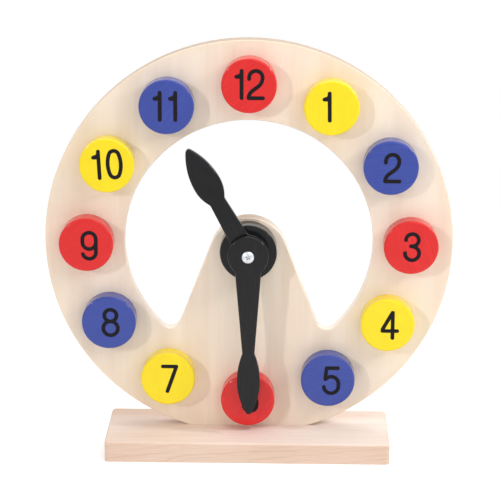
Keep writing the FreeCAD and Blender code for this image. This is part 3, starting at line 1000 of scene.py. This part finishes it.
class ClockOperator:
    """What the clock's operators have in common."""

    bl_options = {"REGISTER", "UNDO"}


class CLOCK_OT_dial_plate(ClockOperator, bpy.types.Operator):
    """Dress the plate as pale plywood"""

    bl_idname = "clock.dial_plate"
    bl_label = "Dial plate"

    def execute(self, context):
        dress_node("dial_plate", plywood(context.scene.clock_wood))
        return {"FINISHED"}


class CLOCK_OT_base_board(ClockOperator, bpy.types.Operator):
    """Dress the base board as solid wood"""

    bl_idname = "clock.base_board"
    bl_label = "Base board"

    def execute(self, context):
        dress_node("base_board", solid_wood(context.scene.clock_wood))
        return {"FINISHED"}


class CLOCK_OT_number_discs(ClockOperator, bpy.types.Operator):
    """Model one number disc with its socket, and copy it to every hour"""

    bl_idname = "clock.number_discs"
    bl_label = "Number discs"

    def execute(self, context):
        numbers, paint = context.scene.clock_numbers, context.scene.clock_paint
        finishes = {
            name: enamel(f"{name}_enamel", paint, getattr(paint, name), paint.gloss_ior)
            for name in PAINTS
        }
        first = self.model(disc_node(HOURS), numbers)
        home = middle_of(disc_node(HOURS))
        for hour in range(1, HOURS + 1):
            node, name = disc_node(hour), PAINTS[hour % len(PAINTS)]
            disc = copy_of(first, f"disc_{hour:02d}")
            disc.location = middle_of(node) - home
            apply_place(disc)
            self.lay_streaks(disc, hour, middle_of(node))
            finish_piece(disc, peg_body(hour), f"{name}_paint", finishes[name], node)
        discard(first)
        return {"FINISHED"}

    def model(self, node, numbers):
        """One disc with its rims rounded, and a socket in its back."""
        low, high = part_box(node)
        rounds = (numbers.rim_round, numbers.back_round)
        disc = add_turned_block("disc", low, high, BLOCK_SIDES, rounds)
        edit(True)
        pick("FACE", flat_at(high.y))
        radius = (high.x - low.x) / 2 - numbers.back_round
        bpy.ops.mesh.inset(thickness=radius - numbers.socket_radius)
        pull(0, -numbers.socket_depth, 0)
        tidy_mesh()
        edit(False)
        soften(disc)
        return disc

    def lay_streaks(self, disc, hour, middle):
        """Grain the disc's own way, at a depth where no two discs have the same streaks."""
        turn = math.radians(STREAKS[hour])
        along = Vector((math.cos(turn), 0, math.sin(turn)))
        across = Vector((-math.sin(turn), 0, math.cos(turn)))
        lay_grain(disc, along, across, middle, STREAK_STEP * hour)


class CLOCK_OT_peg_dowels(ClockOperator, bpy.types.Operator):
    """Turn one dowel and copy it to every number disc"""

    bl_idname = "clock.peg_dowels"
    bl_label = "Peg dowels"

    def execute(self, context):
        ends = context.scene.clock_numbers.dowel_round
        material = dowel_wood(context.scene.clock_wood)
        home = f"peg_dowel_{HOURS:02d}"
        first = add_turned_block("dowel", *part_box(home), DOWEL_SIDES, (ends, ends))
        soften(first)
        for hour in range(1, HOURS + 1):
            node = f"peg_dowel_{hour:02d}"
            dowel = copy_of(first, f"dowel_{hour:02d}")
            dowel.location = middle_of(node) - middle_of(home)
            apply_place(dowel)
            finish_piece(dowel, peg_body(hour), "dowel_wood", material, node)
        discard(first)
        return {"FINISHED"}


class CLOCK_OT_numerals(ClockOperator, bpy.types.Operator):
    """Draw each figure once and print the numerals on the discs"""

    bl_idname = "clock.numerals"
    bl_label = "Numerals"

    def execute(self, context):
        numbers = context.scene.clock_numbers
        material = ink(context.scene.clock_paint)
        figures = {figure: draw_figure(figure, numbers) for figure in STROKES}
        for hour, (signs, place, turn) in NUMERALS.items():
            numeral = self.set_figures(hour, signs, figures)
            front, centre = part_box(disc_node(hour))[0].y, middle_of(disc_node(hour))
            numeral.rotation_euler.y = -math.radians(turn)
            numeral.location = (
                centre.x + place[0] * MM, front + numbers.ink_sunk, centre.z + place[1] * MM
            )
            apply_place(numeral)
            finish_piece(numeral, peg_body(hour), "black_paint", material)
        for figure in figures.values():
            discard(figure)
        return {"FINISHED"}

    def set_figures(self, hour, signs, figures):
        """One numeral, centred on the origin, from copies of its figures."""
        copies = []
        for sign, across in signs:
            copies.append(copy_of(figures[sign], f"numeral_{hour:02d}"))
            copies[-1].location.x = across * MM
            apply_place(copies[-1])
        work_on(copies[0])
        for copy in copies[1:]:
            copy.select_set(True)
        if copies[1:]:
            bpy.ops.object.join()
        return copies[0]


class CLOCK_OT_hub_block(ClockOperator, bpy.types.Operator):
    """Model the round block that carries the hands"""

    bl_idname = "clock.hub_block"
    bl_label = "Hub block"

    def execute(self, context):
        hub, paint = context.scene.clock_hub, context.scene.clock_paint
        low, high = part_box("hub_spacer")
        block = add_turned_block("hub_block", low, high, BLOCK_SIDES, (hub.block_round, 0))
        edit(True)
        for y, rim in ((low.y, hub.block_round), (high.y, 0)):
            pick("FACE", flat_at(y))
            bpy.ops.mesh.inset(thickness=(high.x - low.x) / 2 - rim - hub.shank_radius)
        centre = middle_of("hub_spacer").xz

        def bore_end(face):
            reaches = [(vertex.co.xz - centre).length for vertex in face.verts]
            return all(near(reach, hub.shank_radius, 10 * CLOSE) for reach in reaches)

        pick("FACE", bore_end)
        bpy.ops.mesh.bridge_edge_loops()
        tidy_mesh()
        edit(False)
        soften(block)
        lay_upright_grain(block)
        black = enamel("black_enamel", paint, paint.black, paint.black_ior)
        finish_piece(block, STAND, "black_paint", black, "hub_spacer")
        return {"FINISHED"}


def build_hand(scene, node, hand):
    """Model a hand, stand it on its pivot and turn it to where it points at rest."""
    low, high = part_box(node)
    leaf = draw_hand(f"{node}_leaf", hand, scene.clock_hands, high.y - low.y)
    pivot = middle_of("hub_spacer")
    leaf.rotation_euler.y = hand.stands_at
    leaf.location = (pivot.x, high.y, pivot.z)
    apply_place(leaf)
    soften(leaf, degrees=50)
    lay_upright_grain(leaf, hand.stands_at)
    # The hub block's operator has mixed the black by now.
    black = bpy.data.materials["black_enamel"]
    finish_piece(leaf, node, "black_paint", black, node)


class CLOCK_OT_hour_hand(ClockOperator, bpy.types.Operator):
    """Model the hour hand"""

    bl_idname = "clock.hour_hand"
    bl_label = "Hour hand"

    def execute(self, context):
        build_hand(context.scene, "hour_hand", context.scene.clock_hour_hand)
        return {"FINISHED"}


class CLOCK_OT_minute_hand(ClockOperator, bpy.types.Operator):
    """Model the minute hand"""

    bl_idname = "clock.minute_hand"
    bl_label = "Minute hand"

    def execute(self, context):
        build_hand(context.scene, "minute_hand", context.scene.clock_minute_hand)
        return {"FINISHED"}


class CLOCK_OT_screws(ClockOperator, bpy.types.Operator):
    """Turn the pivot screw and the two screws under the base board"""

    bl_idname = "clock.screws"
    bl_label = "Screws"

    def execute(self, context):
        material = steel(context.scene.clock_paint)
        self.add_pivot_screw(context.scene.clock_hub, material)
        self.add_base_screws(context.scene.clock_hub, material)
        return {"FINISHED"}

    def add_pivot_screw(self, hub, material):
        low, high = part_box("pivot_screw")
        head, tip = (high.x - low.x) / 2, high.y - low.y
        rim = hub.head_dome
        dome = (head ** 2 + rim ** 2) / (2 * rim)
        seat = hub.head_height
        profile = [
            Vector((0, 0)), (Vector((0, dome)), Vector((head, rim)), 1), Vector((head, seat)),
            Vector((hub.shank_radius, seat)), Vector((hub.shank_radius, tip - hub.screw_point)),
            Vector((0, tip)),
        ]
        screw = draw_screw("pan_head_screw", profile, hub)
        screw.rotation_euler = (-math.pi / 2, hub.recess_turn, 0)
        screw.location = (middle_of("pivot_screw").x, low.y, middle_of("pivot_screw").z)
        apply_place(screw)
        soften(screw, degrees=35)
        finish_piece(screw, STAND, "zinc_steel", material, "pivot_screw")

    def add_base_screws(self, hub, material):
        low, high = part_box("base_screws")
        head = (high.y - low.y) / 2
        cone = head - hub.shank_radius
        tip = high.z - low.z
        profile = [
            Vector((0, 0)), Vector((head, 0)), Vector((hub.shank_radius, cone)),
            Vector((hub.shank_radius, tip - hub.screw_point)), Vector((0, tip)),
        ]
        first = draw_screw("countersunk_screws", profile, hub)
        soften(first, degrees=35)
        second = copy_of(first, "second")
        for screw, x in ((first, low.x + head), (second, high.x - head)):
            screw.location = (x, middle_of("base_screws").y, low.z)
            apply_place(screw)
        work_on(first)
        second.select_set(True)
        bpy.ops.object.join()
        finish_piece(first, STAND, "zinc_steel", material, "base_screws")


def way_out(azimuth, elevation):
    """Unit vector that points away from the clock's front, to its right and up."""
    flat = math.cos(elevation)
    return Vector((
        math.sin(azimuth) * flat, -math.cos(azimuth) * flat, math.sin(elevation)
    ))


class CLOCK_OT_stage(ClockOperator, bpy.types.Operator):
    """Set the floor, the surroundings, the lamps and the camera"""

    bl_idname = "clock.stage"
    bl_label = "Stage"

    # Name, degrees to the right of the clock's front and above its middle, then distance and
    # size in metres and power in watts.
    LAMPS = [
        ("key_lamp", -41.6, 19.6, 3.0, 0.12, 20.4),
        ("front_box", 38.0, 42.0, 1.3, 1.0, 4.2),
        ("side_box", 75.0, 32.0, 1.2, 0.2, 5.0),
        ("back_box", 180.0, 76.0, 1.3, 1.7, 11.0),
    ]

    def execute(self, context):
        scene, stage = context.scene, context.scene.clock_stage
        scene.view_settings.view_transform = "Standard"
        self.lay_floor(stage)
        self.light_world(scene, stage)
        for name, right, up, distance, size, power in self.LAMPS:
            lamp = bpy.data.objects.new(name, bpy.data.lights.new(name, "AREA"))
            lamp.data.shape = "DISK"
            lamp.data.size = size
            lamp.data.energy = power
            away = way_out(math.radians(right), math.radians(up))
            lamp.location = Vector(stage.target) + away * distance
            lamp.rotation_euler = away.to_track_quat("Z", "Y").to_euler()
            scene.collection.objects.link(lamp)
        self.stand_camera(scene, stage)
        return {"FINISHED"}

    def lay_floor(self, stage):
        deselect_all()
        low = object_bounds()[0][2] - stage.floor_gap
        bpy.ops.mesh.primitive_circle_add(
            vertices=FLOOR_SIDES, radius=stage.floor_radius, fill_type="NGON",
            location=(0, 0, low),
        )
        floor = bpy.context.object
        floor.name = "floor"
        apply_place(floor)
        grey = [stage.floor_tone] * 3
        finish = Finish("floor_paper", Base_Color=grey, Roughness=0.9, IOR=1.2)
        x, y, _ = finish.place()
        away = (x ** 2 + y ** 2) ** 0.5
        far = away.ramp(stage.floor_near / MM, stage.floor_far / MM)
        seen = finish.seen()
        glow = finish.node("ShaderNodeEmission", {}, {"Strength": seen * stage.floor_glow})
        white = finish.node("ShaderNodeEmission", {}, {"Strength": 1.0})
        paper = Shade(finish, finish.surface.outputs[0])
        lit = finish.node("ShaderNodeAddShader", {}, {0: paper, 1: glow})
        finish.show(finish.node("ShaderNodeMixShader", {}, {0: far * seen, 1: lit, 2: white}))
        floor.data.materials.append(finish.material)
        floor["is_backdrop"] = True

    def light_world(self, scene, stage):
        scene.world = bpy.data.worlds.new("white_room")
        room = NodeTree(scene.world, "ShaderNodeOutputWorld")
        seen = room.seen()
        strength = seen + (1 - seen) * stage.daylight
        sockets = {"Color": (1, 1, 1), "Strength": strength}
        room.show(room.node("ShaderNodeBackground", {}, sockets))

    def stand_camera(self, scene, stage):
        back = way_out(stage.azimuth, stage.elevation)
        right = Vector((math.cos(stage.azimuth), math.sin(stage.azimuth), 0))
        axes = Matrix((right, back.cross(right), back)).transposed()
        axes = axes @ Matrix.Rotation(stage.roll, 3, "Z")
        camera = bpy.data.objects.new("camera", bpy.data.cameras.new("camera"))
        camera.data.lens = stage.lens
        camera.data.shift_x = stage.shift_x
        camera.data.shift_y = stage.shift_y
        camera.location = Vector(stage.target) + back * stage.distance
        camera.rotation_euler = axes.to_euler()
        scene.collection.objects.link(camera)
        scene.camera = camera


class CLOCK_PT_panel(bpy.types.Panel):
    """The clock's operators and settings"""

    bl_idname = "CLOCK_PT_panel"
    bl_label = "Teaching clock"
    bl_space_type = "VIEW_3D"
    bl_region_type = "UI"
    bl_category = "Clock"

    def draw(self, context):
        for operator in OPERATORS:
            self.layout.operator(operator.bl_idname)
        for name, group in SETTINGS.items():
            box = self.layout.box()
            box.label(text=name.replace("_", " ").capitalize())
            settings = getattr(context.scene, name)
            for field in group.__annotations__:
                box.prop(settings, field)


SETTINGS = {
    "clock_wood": ClockWood,
    "clock_paint": ClockPaint,
    "clock_numbers": ClockNumbers,
    "clock_hub": ClockHub,
    "clock_hands": ClockHands,
    "clock_hour_hand": HourHand,
    "clock_minute_hand": MinuteHand,
    "clock_stage": ClockStage,
}
OPERATORS = [
    CLOCK_OT_dial_plate, CLOCK_OT_base_board, CLOCK_OT_number_discs, CLOCK_OT_peg_dowels,
    CLOCK_OT_numerals, CLOCK_OT_hub_block, CLOCK_OT_hour_hand, CLOCK_OT_minute_hand,
    CLOCK_OT_screws, CLOCK_OT_stage,
]


def register():
    for group in SETTINGS.values():
        bpy.utils.register_class(group)
    for name, group in SETTINGS.items():
        setattr(bpy.types.Scene, name, bpy.props.PointerProperty(type=group))
    for operator in OPERATORS:
        bpy.utils.register_class(operator)
    bpy.utils.register_class(CLOCK_PT_panel)


def unregister():
    bpy.utils.unregister_class(CLOCK_PT_panel)
    for operator in reversed(OPERATORS):
        bpy.utils.unregister_class(operator)
    for name, group in SETTINGS.items():
        delattr(bpy.types.Scene, name)
        bpy.utils.unregister_class(group)


def main():
    """Build the whole scene."""
    register()
    for operator in OPERATORS:
        group, name = operator.bl_idname.split(".")
        getattr(getattr(bpy.ops, group), name)()


if __name__ == "__main__":
    main()
